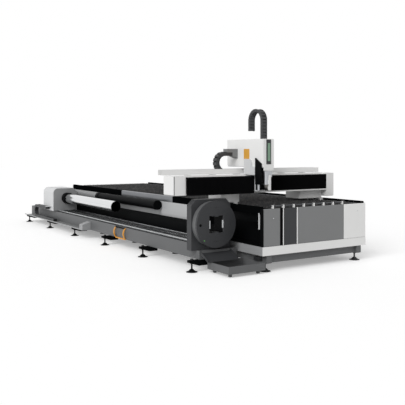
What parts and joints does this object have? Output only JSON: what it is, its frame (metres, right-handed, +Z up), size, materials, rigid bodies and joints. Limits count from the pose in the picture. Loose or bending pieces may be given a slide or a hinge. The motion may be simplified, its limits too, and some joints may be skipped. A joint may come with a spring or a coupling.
{
  "type": "sheet and tube laser cutting machine",
  "caption": "Laser cutting machine with a slatted flat bed under a cantilevered gantry and, beside it, a tube line with a front chuck and a travelling rear chuck.",
  "frame": {"origin": "on the floor, at the middle of the machine's footprint", "axes": "+X along the gantry, away from the tube line; +Y along the beds, front to rear; +Z up"},
  "size_m": [3.3, 8.93, 2.5007],
  "materials": {
    "white_coat": "satin powder coat",
    "light_grey_coat": "satin powder coat",
    "mid_grey_coat": "satin powder coat",
    "dark_grey_coat": "satin powder coat",
    "black_coat": "satin powder coat",
    "steel": "ground and machined",
    "slat_steel": "scaled and burnt",
    "bellows_cloth": "coated cloth",
    "chain_plastic": "moulded polyamide",
    "orange_coat": "satin powder coat",
    "head_aluminium": "anodised",
    "nozzle_brass": "turned"
  },
  "bodies": {
    "base": {"base_frame": "mid_grey_coat", "bed_feet": "black_coat", "bed_floor": "black_coat", "chuck_drum": "dark_grey_coat", "chuck_plate": "dark_grey_coat", "chute": "mid_grey_coat", "collecting_tray": "mid_grey_coat", "dust_duct": "dark_grey_coat", "front_dark_panel": "dark_grey_coat", "front_frame": "black_coat", "front_grey_panels": "mid_grey_coat", "front_right_panel": "white_coat", "guard_hoops": "orange_coat", "left_guard_black": "black_coat", "left_guard_steel": "steel", "left_rail_beam": "dark_grey_coat", "left_wall": "mid_grey_coat", "raised_beam": "dark_grey_coat", "rear_drag_chain": "chain_plastic", "rear_wall": "white_coat", "right_guard": "black_coat", "right_rail_beam": "dark_grey_coat", "right_wall": "white_coat", "skirt": "white_coat", "slats": "slat_steel", "trough_floor": "mid_grey_coat", "trough_wall": "mid_grey_coat", "tube_bed": "dark_grey_coat", "tube_feet": "black_coat", "tube_rails": "steel"},
    "gantry": {"gantry_beam": "white_coat", "left_saddle": "white_coat", "right_saddle": "white_coat", "left_end_cover": "white_coat", "right_end_cover": "white_coat", "cable_tray": "white_coat", "left_bellows": "bellows_cloth", "right_bellows": "bellows_cloth", "x_drag_chain": "chain_plastic"},
    "carriage": {"carriage_plate": "light_grey_coat", "head_cover": "white_coat", "slide_cover": "black_coat", "z_chain_loop": "chain_plastic"},
    "cutting_head": {"head_slide": "dark_grey_coat", "laser_head": "head_aluminium", "nozzle": "nozzle_brass"},
    "rear_slide": {"rear_carriage": "dark_grey_coat", "rear_housing": "white_coat"},
    "rear_chuck": {"rear_hub": "black_coat", "tube_stock": "steel"},
    "front_chuck": {"chuck_disc": "dark_grey_coat"},
    "loading_rollers": {"loading_shaft": "steel"},
    "front_jaw_1": {"front_jaw_1": "steel"},
    "rear_jaw_1": {"rear_jaw_1": "black_coat"},
    "front_jaw_2": {"front_jaw_2": "steel"},
    "rear_jaw_2": {"rear_jaw_2": "black_coat"},
    "front_jaw_3": {"front_jaw_3": "steel"},
    "rear_jaw_3": {"rear_jaw_3": "black_coat"},
    "front_jaw_4": {"front_jaw_4": "steel"},
    "rear_jaw_4": {"rear_jaw_4": "black_coat"}
  },
  "joints": [
    {"name": "gantry_travel", "type": "slide", "parent": "base", "child": "gantry", "axis": [0, 1, 0], "range_m": [0, 5.9]},
    {"name": "carriage_travel", "type": "slide", "parent": "gantry", "child": "carriage", "axis": [1, 0, 0], "range_m": [-0.9, 1.3], "deforming": ["left_bellows", "right_bellows", "x_drag_chain"]},
    {"name": "head_lift", "type": "slide", "parent": "carriage", "child": "cutting_head", "axis": [0, 0, 1], "range_m": [-0.19, 0.05]},
    {"name": "rear_chuck_travel", "type": "slide", "parent": "base", "child": "rear_slide", "axis": [0, 1, 0], "range_m": [-5.6, 0.9], "deforming": ["rear_drag_chain"]},
    {"name": "rear_chuck_spin", "type": "hinge", "parent": "rear_slide", "child": "rear_chuck", "pos_m": [-0.99, 2.405, 0.706], "axis": [0, 1, 0], "continuous": true},
    {"name": "front_chuck_spin", "type": "hinge", "parent": "base", "child": "front_chuck", "pos_m": [-0.99, -3.895, 0.706], "axis": [0, 1, 0], "continuous": true},
    {"name": "loading_roller_spin", "type": "hinge", "parent": "base", "child": "loading_rollers", "pos_m": [-0.17, -4.409, 0.99], "axis": [1, 0, 0], "continuous": true},
    {"name": "front_jaw_1_slide", "type": "slide", "parent": "front_chuck", "child": "front_jaw_1", "axis": [-1, 0, 0], "range_m": [0, 0.068]},
    {"name": "rear_jaw_1_slide", "type": "slide", "parent": "rear_chuck", "child": "rear_jaw_1", "axis": [1, 0, 0], "range_m": [0, 0.012]},
    {"name": "front_jaw_2_slide", "type": "slide", "parent": "front_chuck", "child": "front_jaw_2", "axis": [0, 0, -1], "range_m": [0, 0.068]},
    {"name": "rear_jaw_2_slide", "type": "slide", "parent": "rear_chuck", "child": "rear_jaw_2", "axis": [0, 0, 1], "range_m": [0, 0.012]},
    {"name": "front_jaw_3_slide", "type": "slide", "parent": "front_chuck", "child": "front_jaw_3", "axis": [1, 0, 0], "range_m": [0, 0.068]},
    {"name": "rear_jaw_3_slide", "type": "slide", "parent": "rear_chuck", "child": "rear_jaw_3", "axis": [-1, 0, 0], "range_m": [0, 0.012]},
    {"name": "front_jaw_4_slide", "type": "slide", "parent": "front_chuck", "child": "front_jaw_4", "axis": [0, 0, 1], "range_m": [0, 0.068]},
    {"name": "rear_jaw_4_slide", "type": "slide", "parent": "rear_chuck", "child": "rear_jaw_4", "axis": [0, 0, -1], "range_m": [0, 0.012]}
  ],
  "couplings": [
    {"joint": "front_jaw_2_slide", "follows": "front_jaw_1_slide", "ratio": 1},
    {"joint": "rear_jaw_2_slide", "follows": "rear_jaw_1_slide", "ratio": 1},
    {"joint": "front_jaw_3_slide", "follows": "front_jaw_1_slide", "ratio": 1},
    {"joint": "rear_jaw_3_slide", "follows": "rear_jaw_1_slide", "ratio": 1},
    {"joint": "front_jaw_4_slide", "follows": "front_jaw_1_slide", "ratio": 1},
    {"joint": "rear_jaw_4_slide", "follows": "rear_jaw_1_slide", "ratio": 1}
  ]
}
